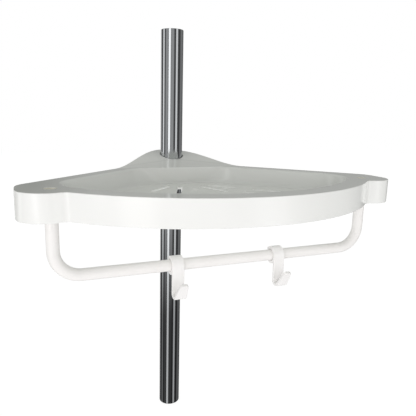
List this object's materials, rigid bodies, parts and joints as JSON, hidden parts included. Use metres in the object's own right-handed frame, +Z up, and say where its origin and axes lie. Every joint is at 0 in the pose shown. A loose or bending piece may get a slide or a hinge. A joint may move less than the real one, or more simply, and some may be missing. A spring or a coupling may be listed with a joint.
{
  "type": "corner shower shelf",
  "caption": "Quarter-round white shelf with a sunk draining basin, clamped at its rear corner on a vertical steel pole, with a towel bar and sliding hooks below.",
  "frame": {"origin": "on the pole's axis, at the lower cut end of the pole", "axes": "+Z up along the pole, +Y into the corner of the room, -Y out to the user, +X to the right of a user facing the shelf"},
  "size_m": [0.34, 0.2613, 0.456],
  "materials": {
    "polished_steel": "polished",
    "white_moulding": "satin gloss",
    "sleeve_plastic": "matt",
    "coated_tube": "smooth white coating",
    "hook_plastic": "glossy"
  },
  "bodies": {
    "pole": {"pole_tube": "polished_steel"},
    "sleeve": {"collet_half_left": "sleeve_plastic", "collet_half_right": "sleeve_plastic"},
    "shelf": {"shelf_tray": "white_moulding", "towel_bar": "coated_tube", "bar_plug_left": "white_moulding", "bar_plug_right": "white_moulding"},
    "left_hook": {"hook_left": "hook_plastic"},
    "right_hook": {"hook_right": "hook_plastic"}
  },
  "joints": [
    {"name": "shelf_height", "type": "slide", "parent": "pole", "child": "sleeve", "axis": [0, 0, 1], "range_m": [-0.2, 0.12]},
    {"name": "shelf_swivel", "type": "hinge", "parent": "sleeve", "child": "shelf", "pos_m": [0, 0, 0.3075], "axis": [0, 0, 1], "continuous": true},
    {"name": "left_hook_slide", "type": "slide", "parent": "shelf", "child": "left_hook", "axis": [1, 0, 0], "range_m": [-0.071, 0.04]},
    {"name": "right_hook_slide", "type": "slide", "parent": "shelf", "child": "right_hook", "axis": [1, 0, 0], "range_m": [-0.04, 0.066]}
  ]
}
